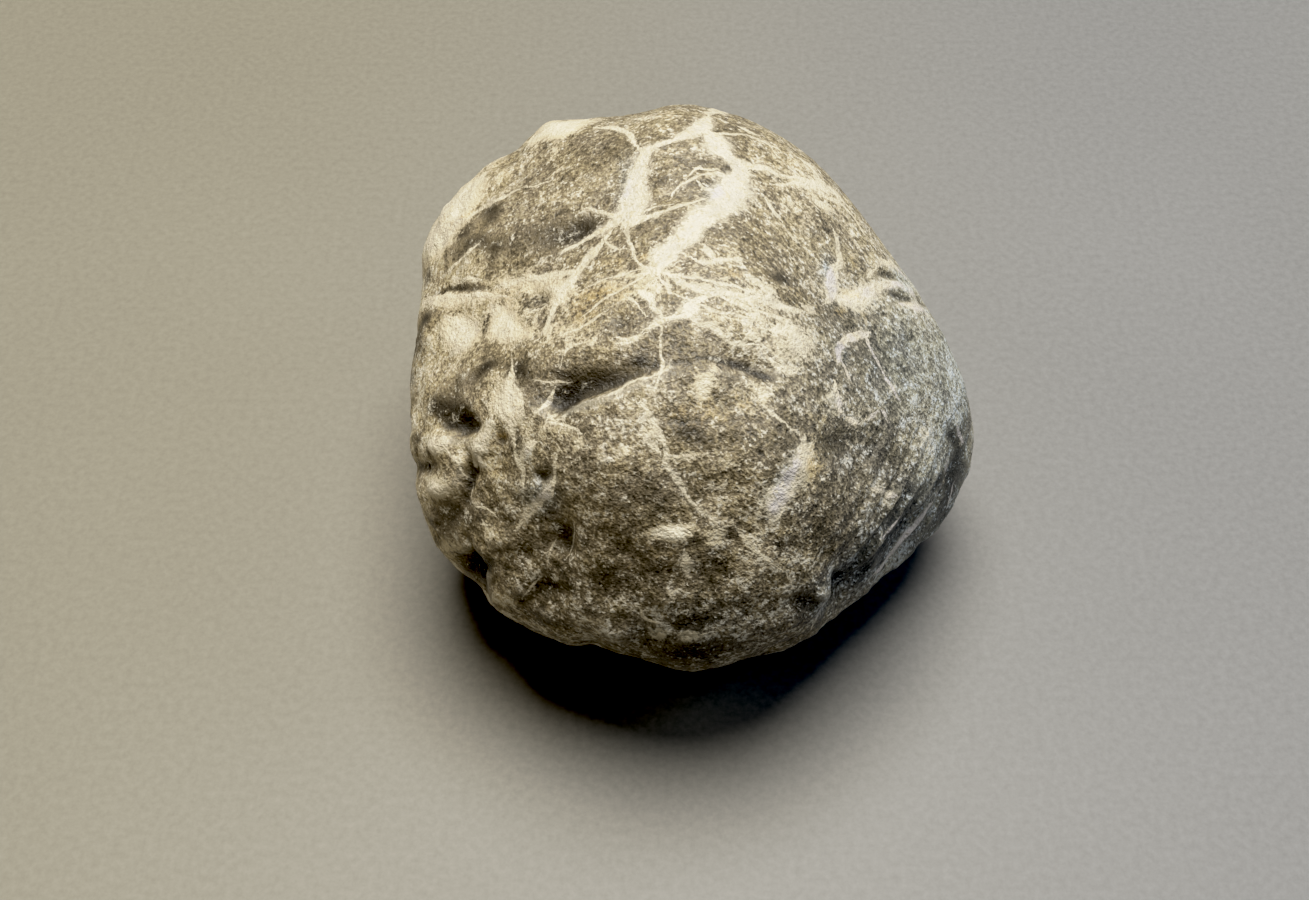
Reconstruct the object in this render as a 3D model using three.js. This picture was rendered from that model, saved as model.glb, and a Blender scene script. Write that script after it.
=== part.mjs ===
// A beach pebble: one solid stone, a broken block that the sea has rounded, lying on the small flat
// that it comes to rest on. Millimetres, +Z up, with the origin under the middle of its box.
//
// The stone is a closed surface around its own middle. In each direction its radius is a smooth minimum
// of two kinds of limit: a girdle, which is the outline seen along the tilted axis that the worn face
// looks out on, and a handful of flats where the block broke. Hollows, lumps, a ledge and a slow swell
// are then worn into that surface, and the resting flat is cut last.

import * as THREE from 'three';
import { mergeVertices } from 'three/addons/utils/BufferGeometryUtils.js';

// ---- driving dimensions (mm, degrees) ----

// Radius of the outline every 15 degrees, counted anticlockwise from the right, seen along the face axis.
const GIRDLE = [
  31, 28, 27, 27, 28.5, 30, 31.5, 30.5, 33.5, 35, 35.5, 32,
  30.2, 31, 33, 32.5, 31.5, 29, 30, 29, 29, 30, 33, 35,
];
const FACE_TILT = 50;

// Broken flats: azimuth (0 is right, 90 is away), elevation, distance from the stone's middle.
const FLATS = [
  { azimuth: 0, elevation: 90, distance: 26 },
  { azimuth: -79, elevation: 43, distance: 30.5 },
  { azimuth: -92, elevation: 18, distance: 32.5 },
  { azimuth: -174, elevation: 52, distance: 25 },
  { azimuth: -19, elevation: 44, distance: 25.5 },
  { azimuth: -3, elevation: 53, distance: 24.5 },
  { azimuth: -132, elevation: 18, distance: 31 },
  { azimuth: -35, elevation: 15, distance: 27 },
  { azimuth: 90, elevation: 8, distance: 33 },
  { azimuth: 140, elevation: -25, distance: 33 },
  { azimuth: 40, elevation: -25, distance: 31 },
  { azimuth: 95, elevation: -46, distance: 29.5 },
  { azimuth: -15, elevation: -66, distance: 25.5 },
  { azimuth: 170, elevation: -64, distance: 26 },
  { azimuth: -100, elevation: -72, distance: 25 },
];
const EDGE_SHARPNESS = 11;

// The resting flat, cut square to +Z this far below the stone's middle.
const REST_DEPTH = 23.2;

// The ledge: a crease that runs across the worn face, deep at its left end and dying out to the right.
// The brow above slopes down into it gently and the face below rises out of it steeply.
// Points are right and up on the face, with the depth at each.
const LEDGE = [
  { right: -14, up: -3.5, depth: 0.3 },
  { right: -12, up: -2.2, depth: 1.9 },
  { right: -9, up: -1.3, depth: 2 },
  { right: -6.5, up: -0.4, depth: 1.5 },
  { right: -3.5, up: 0.8, depth: 0.7 },
  { right: 0, up: 1.3, depth: 0.4 },
  { right: 5, up: 0.5, depth: 0.8 },
  { right: 8, up: 0, depth: 0 },
];
const LEDGE_SLOPE_ABOVE = 2.6;
const LEDGE_SLOPE_BELOW = 1.2;

// Hollows (negative) and lumps (positive) on the worn face: place, half widths, turn and height.
const FACE_RELIEF = [
  { right: -24, up: -4.7, wide: 2.4, tall: 1.6, turn: 0, height: -1.3 },
  { right: -26.3, up: -7.5, wide: 1.4, tall: 2.2, turn: 0, height: 0.7 },
  { right: -23, up: -10, wide: 1, tall: 2.6, turn: 0, height: -0.9 },
  { right: -22.5, up: -19.5, wide: 1.8, tall: 2.4, turn: 0, height: -1.8 },
  { right: -13.2, up: -15.8, wide: 1.6, tall: 2.2, turn: 20, height: -1.4 },
  { right: -15.5, up: -21.5, wide: 2.2, tall: 1.3, turn: 0, height: -1.1 },
  { right: -10, up: -26.3, wide: 1.5, tall: 1.8, turn: 0, height: -1 },
  { right: 12.8, up: -21.3, wide: 1.4, tall: 1.4, turn: 0, height: 0.8 },
  { right: 14.5, up: -21, wide: 1.3, tall: 1.8, turn: 0, height: -0.9 },
  { right: 22.5, up: -11.7, wide: 2.4, tall: 6, turn: -55, height: 0.7 },
  { right: -27, up: 18, wide: 3.5, tall: 2.5, turn: 50, height: 0.4 },
  { right: -18.7, up: 25.3, wide: 1.5, tall: 1.5, turn: 0, height: -0.5 },
  { right: 4.5, up: -7.5, wide: 7, tall: 4.5, turn: -10, height: 0.8 },
  { right: -7.5, up: -10, wide: 4, tall: 4, turn: 0, height: 0.5 },
  { right: -9.5, up: -18, wide: 2.5, tall: 2.5, turn: 0, height: 0.4 },
  { right: 0, up: 14, wide: 12, tall: 7, turn: 20, height: 0.5 },
  { right: -17, up: 8, wide: 6, tall: 5, turn: 0, height: -0.4 },
];

// The same on the side that faces away: azimuth, elevation, half width and height.
const BACK_RELIEF = [
  { azimuth: 70, elevation: -5, width: 7, height: -1.1 },
  { azimuth: 110, elevation: 25, width: 6, height: 0.8 },
  { azimuth: 150, elevation: -10, width: 5, height: -0.9 },
  { azimuth: 30, elevation: -30, width: 6, height: 0.8 },
  { azimuth: 100, elevation: -45, width: 6, height: -0.8 },
  { azimuth: -60, elevation: -60, width: 5, height: -0.7 },
  { azimuth: 190, elevation: -50, width: 6, height: 0.7 },
];

// A slow swell over the whole stone: three crossed waves of this length and height.
const SWELL_LENGTH = 19;
const SWELL_HEIGHT = 0.35;

// Number of rows of facets along each side of the six patches that the skin is made of.
const ROWS = 28;

// ---- directions ----

const radians = THREE.MathUtils.degToRad;

function direction(azimuth, elevation) {
  const flat = Math.cos(radians(elevation));
  return new THREE.Vector3(
    flat * Math.cos(radians(azimuth)),
    flat * Math.sin(radians(azimuth)),
    Math.sin(radians(elevation)),
  );
}

const faceRight = new THREE.Vector3(1, 0, 0);
const faceOut = direction(-90, FACE_TILT);
const faceUp = new THREE.Vector3().crossVectors(faceOut, faceRight);

const flats = FLATS.map(({ azimuth, elevation, distance }) => (
  { normal: direction(azimuth, elevation), distance }
));

// ---- the worn block ----

// Smooth curve through the girdle's radii (Catmull-Rom), for an angle in radians.
function girdleRadius(angle) {
  const count = GIRDLE.length;
  const place = ((angle / (2 * Math.PI)) * count + count) % count;
  const step = Math.floor(place);
  const f = place - step;
  const [a, b, c, d] = [-1, 0, 1, 2].map((k) => GIRDLE[(step + k + count) % count]);
  const slope = (c - a) / 2;
  const nextSlope = (d - b) / 2;
  const bend = 3 * (c - b) - 2 * slope - nextSlope;
  const twist = slope + nextSlope - 2 * (c - b);
  return b + slope * f + bend * f * f + twist * f * f * f;
}

// Radius of the block along a unit direction: the smooth minimum of the girdle and the flats.
function blockRadius(unit) {
  const right = unit.dot(faceRight);
  const up = unit.dot(faceUp);
  const nearness = [Math.hypot(right, up) / girdleRadius(Math.atan2(up, right))];
  flats.forEach(({ normal, distance }) => nearness.push(Math.max(unit.dot(normal), 0) / distance));
  const total = nearness.reduce((sum, n) => sum + n ** EDGE_SHARPNESS, 0);
  return total ** (-1 / EDGE_SHARPNESS);
}

// ---- what wear has done to it ----

// A bell of unit height: 1 in the middle, falling off smoothly with distance counted in half widths.
const bell = (distance) => Math.exp(-distance * distance);

// Height that the ledge adds at a place on the face, below zero along its whole line.
function ledgeHeight(right, up) {
  let nearest = Infinity;
  let height = 0;
  for (let i = 1; i < LEDGE.length; i += 1) {
    const a = LEDGE[i - 1];
    const b = LEDGE[i];
    const along = { right: b.right - a.right, up: b.up - a.up };
    const length = Math.hypot(along.right, along.up);
    const t = THREE.MathUtils.clamp(
      ((right - a.right) * along.right + (up - a.up) * along.up) / length ** 2, 0, 1);
    const offRight = right - a.right - t * along.right;
    const offUp = up - a.up - t * along.up;
    const distance = Math.hypot(offRight, offUp);
    if (distance < nearest) {
      nearest = distance;
      const above = along.right * offUp - along.up * offRight > 0;
      const slope = above ? LEDGE_SLOPE_ABOVE : LEDGE_SLOPE_BELOW;
      height = -THREE.MathUtils.lerp(a.depth, b.depth, t) * bell(distance / slope);
    }
  }
  return height;
}

// Height that the hollows and lumps of the face add at a point of the block.
function faceRelief(point) {
  const out = point.dot(faceOut);
  const fade = THREE.MathUtils.smoothstep(out, -15, -8);
  if (fade === 0) {
    return 0;
  }
  const right = point.dot(faceRight);
  const up = point.dot(faceUp);
  let height = ledgeHeight(right, up);
  FACE_RELIEF.forEach((mark) => {
    const turn = radians(mark.turn);
    const x = (right - mark.right) * Math.cos(turn) + (up - mark.up) * Math.sin(turn);
    const y = (up - mark.up) * Math.cos(turn) - (right - mark.right) * Math.sin(turn);
    height += mark.height * bell(Math.hypot(x / mark.wide, y / mark.tall));
  });
  return fade * height;
}

const backMarks = BACK_RELIEF.map(({ azimuth, elevation, width, height }) => {
  const unit = direction(azimuth, elevation);
  return { centre: unit.clone().multiplyScalar(blockRadius(unit)), width, height };
});

// Height that the hollows and lumps of the far side add at a point of the block.
function backRelief(point) {
  return backMarks.reduce((total, { centre, width, height }) => (
    total + height * bell(point.distanceTo(centre) / width)
  ), 0);
}

function swell(point) {
  const turn = (2 * Math.PI) / SWELL_LENGTH;
  const waves = Math.sin(turn * (point.x + 0.4 * point.y) + 1)
    + Math.sin(turn * (point.y - 0.5 * point.z) + 2)
    + Math.sin(turn * (point.z + 0.3 * point.x) + 4);
  return (SWELL_HEIGHT * waves) / Math.sqrt(3);
}

// The stone's skin along a unit direction, stopped at the resting flat.
function skinPoint(unit) {
  const radius = blockRadius(unit);
  const point = unit.clone().multiplyScalar(radius);
  const worn = radius + faceRelief(point) + backRelief(point) + swell(point);
  const floor = unit.z < 0 ? REST_DEPTH / -unit.z : Infinity;
  return unit.clone().multiplyScalar(Math.min(worn, floor));
}

// ---- the mesh ----

// A box of even squares blown onto the unit sphere, so that no facet is a sliver at a pole.
function unitSphere(rows) {
  const box = new THREE.BoxGeometry(2, 2, 2, rows, rows, rows);
  box.deleteAttribute('normal');
  box.deleteAttribute('uv');
  const sphere = mergeVertices(box);
  const corners = sphere.getAttribute('position');
  const corner = new THREE.Vector3();
  for (let i = 0; i < corners.count; i += 1) {
    corner.fromBufferAttribute(corners, i);
    corner.set(...corner.toArray().map((n) => Math.tan((n * Math.PI) / 4))).normalize();
    corners.setXYZ(i, corner.x, corner.y, corner.z);
  }
  return sphere;
}

function stoneGeometry() {
  const geometry = unitSphere(ROWS);
  const corners = geometry.getAttribute('position');
  const unit = new THREE.Vector3();
  for (let i = 0; i < corners.count; i += 1) {
    const point = skinPoint(unit.fromBufferAttribute(corners, i));
    corners.setXYZ(i, point.x, point.y, point.z);
  }
  geometry.computeBoundingBox();
  const { min, max } = geometry.boundingBox;
  geometry.translate(-(min.x + max.x) / 2, -(min.y + max.y) / 2, REST_DEPTH);
  geometry.computeVertexNormals();
  return geometry;
}

const stoneMaterial = new THREE.MeshStandardMaterial({ color: 0x77736a, roughness: 0.62, metalness: 0 });

const pebble = new THREE.Mesh(stoneGeometry(), stoneMaterial);
pebble.name = 'pebble';

const group = new THREE.Group();
group.add(pebble);

export default group;
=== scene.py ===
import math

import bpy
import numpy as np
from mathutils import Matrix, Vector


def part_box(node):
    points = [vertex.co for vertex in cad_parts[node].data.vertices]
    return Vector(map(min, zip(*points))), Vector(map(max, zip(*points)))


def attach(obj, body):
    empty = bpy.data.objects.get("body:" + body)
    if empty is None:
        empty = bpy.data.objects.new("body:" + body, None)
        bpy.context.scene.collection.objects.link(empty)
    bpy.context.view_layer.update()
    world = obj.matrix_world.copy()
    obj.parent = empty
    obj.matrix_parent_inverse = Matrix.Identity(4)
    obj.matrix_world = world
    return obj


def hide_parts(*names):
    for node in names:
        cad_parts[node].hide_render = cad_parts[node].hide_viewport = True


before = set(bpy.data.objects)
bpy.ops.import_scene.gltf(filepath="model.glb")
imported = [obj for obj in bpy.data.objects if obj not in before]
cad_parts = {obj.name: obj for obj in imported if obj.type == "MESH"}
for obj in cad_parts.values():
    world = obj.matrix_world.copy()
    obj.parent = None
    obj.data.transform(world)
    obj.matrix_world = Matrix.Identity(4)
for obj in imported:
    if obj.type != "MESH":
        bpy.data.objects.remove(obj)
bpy.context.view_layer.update()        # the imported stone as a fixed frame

# A beach pebble: one palm-sized block of dark veined limestone that the sea has rounded.
#
# The stone is a closed surface around its own middle, worked out as whole arrays. The same girdle and
# broken flats as in the solid give its form. Creases, lumps, pits and a fine roughness are worn into it.
# Veins and stains are laid on the worn block as distances and strengths at each vertex, and the material
# turns those into ragged calcite, cream, ochre, soot and a slate tint with its own grain. Part of the soot
# is painted shade in the ledge, holes, hollows and at the foot, part of the slate tint is painted cool light
# on the right flank and at the foot, and the hollows get painted shade too.
# Lengths are millimetres and angles degrees until the mesh is made, which is in metres. Marks laid on the
# worn face are the exception: their lists count in tenths of a millimetre, right and up from its middle.

MM = 0.001
TENTHS = 10         # tenths in a millimetre

# ---- the worn block, as in the solid ----

# Radius of the outline every 15 degrees, counted anticlockwise from the right, seen along the face axis.
GIRDLE = np.array([
    31, 28, 27, 27, 28.5, 30, 31.5, 30.5, 33.5, 35, 35.5, 32,
    30.2, 31, 33, 32.5, 31.5, 29, 30, 29, 29, 30, 33, 35,
])
FACE_TILT = 50

# Broken flats: azimuth (0 is right, 90 is away), elevation, distance from the stone's middle.
FLATS = [
    (0, 90, 26), (-79, 43, 30.5), (-92, 18, 32.5), (-174, 52, 25), (-19, 44, 25.5), (-3, 53, 24.5),
    (-132, 18, 31), (-35, 15, 27), (90, 8, 33), (140, -25, 33), (40, -25, 31), (95, -46, 29.5),
    (-15, -66, 25.5), (170, -64, 26), (-100, -72, 25),
]
EDGE_SHARPNESS = 11
REST_DEPTH = 23.2

# The slow swell: three crossed waves of this length and height.
SWELL_LENGTH = 19
SWELL_HEIGHT = 0.35

# ---- what is worn into it ----

# Marks on the face fade in between these two heights out along its axis, in millimetres.
WORN_FADE = (-15, -8)
COLOUR_FADE = (-11, -3)

# Creases (below zero) and crests (above zero) on the worn face. Each has the width of its flank on the
# left and on the right of the way it runs, then its route: right, up and height.
CREASES = [
    # the ledge across the face, and its faint end to the right
    (24, 6, [(-142, -40, -3), (-136, -32, -16), (-128, -26, -19), (-115, -20, -19), (-90, -11, -16),
      (-75, -6, -14), (-60, 1, -11), (-45, 7, -8), (-25, 11, -5), (0, 14, -4), (30, 12, -7), (50, 5, -8),
      (65, 0, -6), (80, -2, 0)]),
    # the deep hollow at the left edge and the groove below it
    (20, 6, [(-275, -40, 0), (-255, -48, -9), (-240, -53, -16), (-225, -50, -14), (-213, -43, -3)]),
    (9, 5, [(-235, -70, -3), (-230, -80, -8), (-230, -95, -10), (-233, -110, -8), (-235, -125, -5)]),
    # the dark hole at the lower left
    (6, 18, [(-230, -170, -5), (-227, -183, -20), (-223, -198, -23), (-218, -215, -15), (-210, -230, 0)]),
    # pockets in the lower left of the face
    (7, 18, [(-123, -135, 0), (-125, -155, -6), (-128, -170, -7), (-132, -180, -2)]),
    (20, 12, [(-135, -205, 0), (-150, -213, -4.5), (-163, -217, -4.5), (-173, -230, -2)]),
    # beside the bump at the lower right
    (18, 5, [(137, -190, 0), (145, -205, -12), (143, -220, -13), (135, -235, -4)]),
    # the bedding groove at the left
    (3.5, 3, [(-288, 100, -1), (-275, 101, -3), (-260, 102, -4), (-245, 101, -4), (-230, 99, -3),
      (-210, 97, -2), (-195, 95, 0)]),
    (16, 16, [(-95, -245, 0), (-100, -260, -4), (-105, -275, -6)]),
    (6, 6, [(-298, 140, 0), (-296, 125, -3), (-293, 110, -2), (-290, 100, 0)]),
    # the crest between the face and the right flank
    (16, 40, [(270, -50, 0), (250, -90, 6), (225, -117, 8), (203, -133, 8), (185, -155, 6), (160, -190, 0)]),
]

# Hollows (below zero) and lumps on the worn face: right, up, half widths and height, and the turn of
# those that are turned.
LUMPS = [
    (-263, -65, 13, 13, 7), (-260, -108, 15, 10, 6), (-213, -68, 10, 20, 5, -30), (-280, -88, 15, 9, -8),
    (-300, -30, 8, 8, 2), (-245, -135, 20, 16, -6), (-192, -60, 8, 8, -5), (-175, -60, 6, 8, -4),
    (-148, -96, 15, 7, -5), (-124, 155, 30, 15, -6, 26), (-156, 83, 10, 9, -4), (-217, 187, 9, 6, -3),
    (-245, 163, 10, 4, -2, 10), (-225, 55, 11, 9, -4), (-73, 52, 8, 10, -5), (203, 113, 16, 4.5, -3.5, -12),
    (215, 91, 17, 5, -3.5, -28), (243, 89, 8, 4, -3, -20), (145, -65, 35, 15, -5),
    (105, -225, 20, 10, -5, 10), (45, -75, 70, 45, 8, -10), (-75, -100, 40, 40, 5),
    (-148, 276, 30, 14, 3.5, 20), (-25, -150, 20, 5, 2, 3), (-196, 260, 18, 15, -6.5, 38),
    (-158, 287, 17, 10, 6, 12), (-278, 183, 42, 22, 8, 52), (277, -57, 7, 9, -4), (127, -213, 10, 11, 8),
    (-134, -153, 13, 20, -4, 20), (-148, -215, 16, 9, -2), (-227, -190, 13, 12, -12),
    (-170, -120, 20, 20, 4), (-195, -160, 20, 15, 5), (-95, -180, 25, 25, 4), (-80, -250, 20, 10, 5, 10),
    (100, 35, 30, 20, 3), (-45, -220, 30, 20, 3), (0, 140, 120, 70, 5, 20), (-170, 80, 60, 50, -4),
    (30, -153, 8, 7, -3),
]

# The same on the side that faces away: azimuth, elevation, half width and height.
BACK_LUMPS = [
    (70, -5, 7, -1.1), (110, 25, 6, 0.8), (150, -10, 5, -0.9), (30, -30, 6, 0.8), (100, -45, 6, -0.8),
    (-60, -60, 5, -0.7), (190, -50, 6, 0.7), (48, 12, 2.6, -0.6), (128, 6, 3, 0.5), (88, 14, 2.4, 0.4),
    (148, 12, 2.2, -0.5), (60, -22, 2.5, -0.5), (118, -24, 3, 0.6), (12, -16, 2.4, 0.5),
    (84, -18, 1.8, -0.5),
]

# Roughness in layers: length of its waves and height.
ROUGHNESS = [(6.5, 0.34), (3.2, 0.2), (1.7, 0.11), (0.95, 0.055)]

# Pits: length of the noise that places them, the height in it at which they start, and depth.
PITS = [(2.6, 0.5, 0.22), (1.3, 0.46, 0.13)]
PIT_SLOPE = 0.25        # how much higher in that noise they are fully deep

# Bedding ridges on the right flank: middle (right, up), half width of the patch, way across them
# (right, up), spacing and height.
BEDDING = ((22, -14), 9, (0.82, -0.57), 1.7, 0.16)

# ---- veins ----

# Each vein's route on the worn face: right, up and half width, which stays as it is where none is given.
FACE_VEINS = [
    # the left broad vein of the crown and its branches
    [(17, 282, 5), (12, 272, 9), (7, 263, 10), (-2, 254, 9), (-15, 247, 5), (-30, 242, 3.5), (-44, 237, 6),
     (-54, 223, 10), (-59, 208, 11), (-62, 192, 12.5), (-65, 178, 15), (-67, 167, 16), (-69, 158, 6)],
    [(-60, 160, 7), (-40, 165, 5), (-25, 169, 3.5), (-10, 174, 2.5), (7, 179, 1.5)],
    [(-50, 170, 3), (-40, 174, 2), (-26, 174, 1.5)],
    [(-75, 166, 8), (-87, 159), (-100, 152, 5), (-110, 148, 4), (-122, 141), (-133, 135, 3)],
    [(-83, 170, 3), (-95, 174, 2), (-110, 177)],
    [(-70, 158, 3), (-68, 143, 2), (-68, 135), (-64, 125), (-60, 117), (-53, 109), (-45, 101),
     (-39, 90, 1.5), (-35, 75)],
    [(-92, 144, 2), (-85, 134), (-78, 128, 1.5), (-70, 127, 1)],
    [(-87, 149, 2.5), (-97, 137, 4), (-107, 124, 6), (-117, 110, 5), (-122, 100, 6), (-127, 93, 8),
     (-135, 80, 7), (-140, 65, 4), (-150, 45, 2)],
    [(-103, 278, 2), (-90, 275, 3.5), (-78, 269, 4.5), (-69, 261, 3.5), (-63, 250, 2.5), (-56, 239, 2),
     (-52, 230)],
    # the right broad vein and its branches
    [(14, 260, 6), (19, 252, 9), (24, 242, 13), (32, 231, 10), (40, 223, 7), (46, 212, 10), (41, 201, 15),
     (38, 190, 16), (33, 181), (24, 171, 15), (12, 160, 14), (1, 150, 13), (-8, 140), (-18, 130, 12),
     (-29, 120), (-36, 110, 10), (-39, 103, 6), (-37, 94, 2.5)],
    [(30, 206, 6), (20, 209, 4), (10, 206, 2), (-3, 200), (-12, 196), (-20, 190), (-24, 184, 1.5)],
    [(16, 214, 2.5), (4, 212, 2), (-5, 205, 1.5)],
    [(2, 197, 1), (8, 189, 1.5), (16, 188, 2)],
    [(55, 217, 6), (70, 219, 5), (85, 214, 3), (100, 210, 2.5), (115, 209), (130, 210, 3)],
    [(83, 202, 2), (100, 205, 3.5), (115, 203, 5), (130, 205, 7), (143, 202, 8), (155, 195, 5),
     (163, 188, 3)],
    [(103, 246, 2), (115, 238, 3), (125, 229, 3.5), (128, 220, 4), (133, 210, 5)],
    [(22, 257, 3), (40, 257, 2), (55, 258, 2.5), (70, 255, 2), (85, 248, 1.5)],
    [(52, 270, 3), (60, 266, 4), (68, 264, 2)],
    [(133, 195, 2), (145, 190, 3.5), (160, 184, 3), (172, 170, 2), (180, 155, 1.5)],
    [(125, 188, 3), (135, 183, 5), (144, 178, 3)],
    [(74, 180, 3), (80, 173), (85, 166, 1.5)],
    [(90, 158, 1), (95, 150, 2.5), (100, 144, 1.5)],
    # the band of short veins across the middle
    [(-205, 97, 2), (-185, 103, 3.5), (-165, 105, 4), (-145, 105, 5), (-125, 108, 4)],
    [(-145, 93, 4), (-135, 90, 6), (-123, 90, 4)],
    [(-55, 100, 2), (-40, 100), (-25, 95, 3), (-10, 85, 4.5), (10, 80, 5), (25, 80, 4), (40, 75),
     (60, 75, 6), (75, 70), (90, 65, 4), (100, 65, 2)],
    [(50, 95, 2), (60, 88, 3.5), (68, 82), (75, 78, 2)],
    [(-75, 35, 2), (-60, 35, 2.5), (-50, 45, 3), (-40, 50, 4), (-25, 55, 3), (-15, 60, 6), (-5, 65, 8),
     (0, 70, 6), (10, 75, 2)],
    [(-55, 80, 3), (-45, 75, 5), (-40, 65, 4), (-35, 55, 2)],
    [(-66, 76, 1), (-57, 68, 1.5), (-52, 60, 1)],
    [(-25, 120, 1), (-15, 119, 1.5), (-5, 114, 2), (12, 109, 3), (23, 111), (33, 112), (41, 109, 2)],
    [(9, 124, 3), (13, 120, 4), (16, 115, 2)],
    [(-13, 68, 2), (-3, 53), (15, 48, 2.5), (23, 40, 2), (30, 33), (40, 31, 2.5), (55, 32, 1.5)],
    [(60, 45, 1.5), (75, 42, 3), (90, 44, 5), (100, 46, 3)],
    [(90, 43, 5), (96, 34, 12), (101, 26, 8)],
    [(62, 26, 1.5), (70, 15, 3), (80, 8, 5), (90, 7, 6), (97, 9, 3)],
    [(106, 71, 3), (113, 69, 5), (118, 65, 2)],
    [(-130, 42, 1), (-115, 46, 2), (-102, 53), (-87, 62, 1)],
    [(-132, 12, 1), (-128, 22, 1.5), (-120, 29), (-110, 33, 1)],
    [(-115, 85, 1), (-95, 95, 1.5), (-75, 100), (-55, 105, 1)],
    # thin straight strands that cross the middle band
    [(-110, 60, 1), (-95, 70, 1.5), (-75, 83, 2), (-55, 96), (-40, 104, 1.5)],
    [(-40, 100, 2), (-22, 96, 2.5), (5, 92, 2), (30, 86), (50, 82, 1.5)],
    [(-38, 93, 1.5), (-25, 80), (-10, 72), (10, 64), (30, 59), (55, 56, 1)],
    [(20, 78, 2), (38, 68, 2.5), (58, 62, 2), (80, 56, 1.5)],
    # the right-hand veins
    [(144, 156, 1.5), (149, 143, 2.5), (150, 130, 4), (147, 120, 5), (144, 110, 7), (142, 100, 8),
     (141, 90, 9), (138, 82, 5), (130, 78, 2)],
    [(143, 89, 6), (158, 85, 8), (175, 90, 10), (187, 95, 8), (200, 102, 5), (213, 104, 4), (222, 98, 3)],
    [(182, 113, 3), (190, 120, 2.5), (200, 127, 4), (212, 126, 6), (223, 120), (230, 112, 3)],
    [(220, 106, 2), (228, 98, 5), (236, 92), (242, 86, 2)],
    [(218, 82, 2), (228, 83, 5), (238, 80, 4), (246, 77, 2)],
    [(178, 47, 3), (167, 47, 5), (155, 44), (147, 35), (142, 26), (140, 19, 3.5)],
    [(144, 19, 1.5), (148, 10, 2.5), (152, 2, 2)],
    [(176, 40, 3), (182, 28, 1.5), (187, 18, 3.5), (193, 9, 3), (198, -1, 3.5), (203, -10, 4.5),
     (208, -18, 2)],
    [(137, -6, 3.5), (139, -20, 5), (139, -31, 3)],
    [(148, -37, 1.5), (154, -40, 3), (159, -42, 1)],
    [(169, -39, 1.5), (175, -36, 3), (180, -33, 1)],
    [(189, -32, 3), (192, -36, 4.5), (193, -39, 2)],
    [(101, -60, 3), (97, -70, 6), (93, -80, 8), (88, -92, 10), (82, -103, 9), (74, -112, 8), (72, -125),
     (72, -136, 5)],
    [(282, -40, 1.5), (286, -52, 3.5), (293, -60, 4)],
    # the left-hand veins
    [(-180, 24, 1.5), (-179, 12, 2.5), (-179, 3, 5), (-179, -8, 9), (-179, -20, 12), (-179, -30),
     (-179, -42, 6)],
    [(-175, -5, 3), (-172, -14, 4.5), (-170, -24, 5), (-169, -32, 4.5), (-173, -39, 2)],
    [(-198, -29, 2), (-190, -35, 3.5), (-183, -42), (-180, -55, 2.5), (-179, -70), (-176, -81, 5.5),
     (-171, -93, 3), (-170, -105, 1.5)],
    [(-199, -42, 3), (-206, -52, 7), (-212, -63, 9), (-219, -75), (-225, -86, 5)],
    [(-156, -64, 3), (-165, -71, 4.5), (-173, -79, 4)],
    [(-135, -75, 2), (-136, -90, 3.5), (-138, -103, 4), (-147, -113, 7), (-157, -123, 6), (-164, -132, 5),
     (-172, -142, 3), (-180, -150, 2)],
    [(-154, -33, 1.5), (-146, -22, 2.5), (-140, -12, 1.2)],
    [(-156, -3, 0.8), (-140, -3, 1.2), (-128, -6, 0.5)],
    [(-140, -43, 2), (-130, -45), (-115, -50, 1.5)],
    [(-306, 136, 8), (-296, 158, 16), (-282, 179, 21), (-266, 198, 23), (-250, 213, 21), (-236, 226, 12)],
    [(-272, 175, 10), (-258, 180, 9), (-242, 183, 5), (-225, 192, 3.5), (-205, 198, 3), (-190, 205),
     (-180, 208, 1.5)],
    [(-176, 208, 1.5), (-165, 210, 2), (-153, 212, 1)],
    [(-184, 260, 3), (-170, 273, 8), (-148, 284, 9), (-120, 289, 7), (-90, 291, 3.5)],
    [(-260, 70, 3), (-248, 60, 8), (-243, 50, 13), (-243, 40, 9), (-260, 30, 4)],
    [(-258, 108, 2), (-240, 109, 3.5), (-223, 107, 2.5)],
    [(-300, 91, 5), (-283, 93, 6), (-260, 94, 4), (-240, 94, 3), (-215, 91, 2.5), (-195, 88, 2)],
    [(-208, 77, 5), (-203, 69, 7), (-200, 58, 8), (-190, 49), (-182, 42, 3)],
    [(-270, -55, 3), (-263, -65, 9), (-253, -70, 3)],
    [(-272, -110, 3), (-262, -108, 7), (-250, -108, 5)],
    [(-290, -27, 2), (-282, -38, 2.5), (-270, -46, 1.5)],
    [(-304, -20, 4), (-302, -30, 8), (-299, -41, 4)],
    [(-253, -63, 1), (-245, -73, 2), (-238, -82, 1.5), (-236, -92, 1), (-230, -112), (-227, -123, 1.5),
     (-215, -130, 2), (-205, -137, 2.5)],
    # hairlines
    [(-225, 145, 1.5), (-235, 138, 3), (-245, 135, 2.5), (-260, 126), (-273, 122, 1.5)],
    [(-36, 45, 1.6), (-35, 23), (-33, 13, 1.8), (-36, 3, 1.4), (-39, -7, 1.6), (-42, -13, 2.2),
     (-41, -20, 1.6), (-40, -30, 1.2)],
    [(-53, -27, 2), (-46, -40, 3), (-39, -53, 3.3), (-32, -66, 2.7), (-29, -78, 2.5), (-23, -92, 3),
     (-16, -105, 2.8), (-12, -112, 2), (-4, -120, 1.7), (7, -129), (18, -138, 1.5)],
    [(-48, -62, 3), (-42, -66, 4.5), (-38, -69, 2)],
    [(33, -140, 1.5), (42, -152, 2), (55, -166, 1.7), (65, -175, 1.3), (80, -185), (90, -194), (96, -205)],
    [(63, -29, 1), (72, -37, 2), (82, -44, 1.5), (93, -52, 2)],
    [(-121, -145, 1), (-124, -160, 1.5), (-129, -178, 1)],
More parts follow.
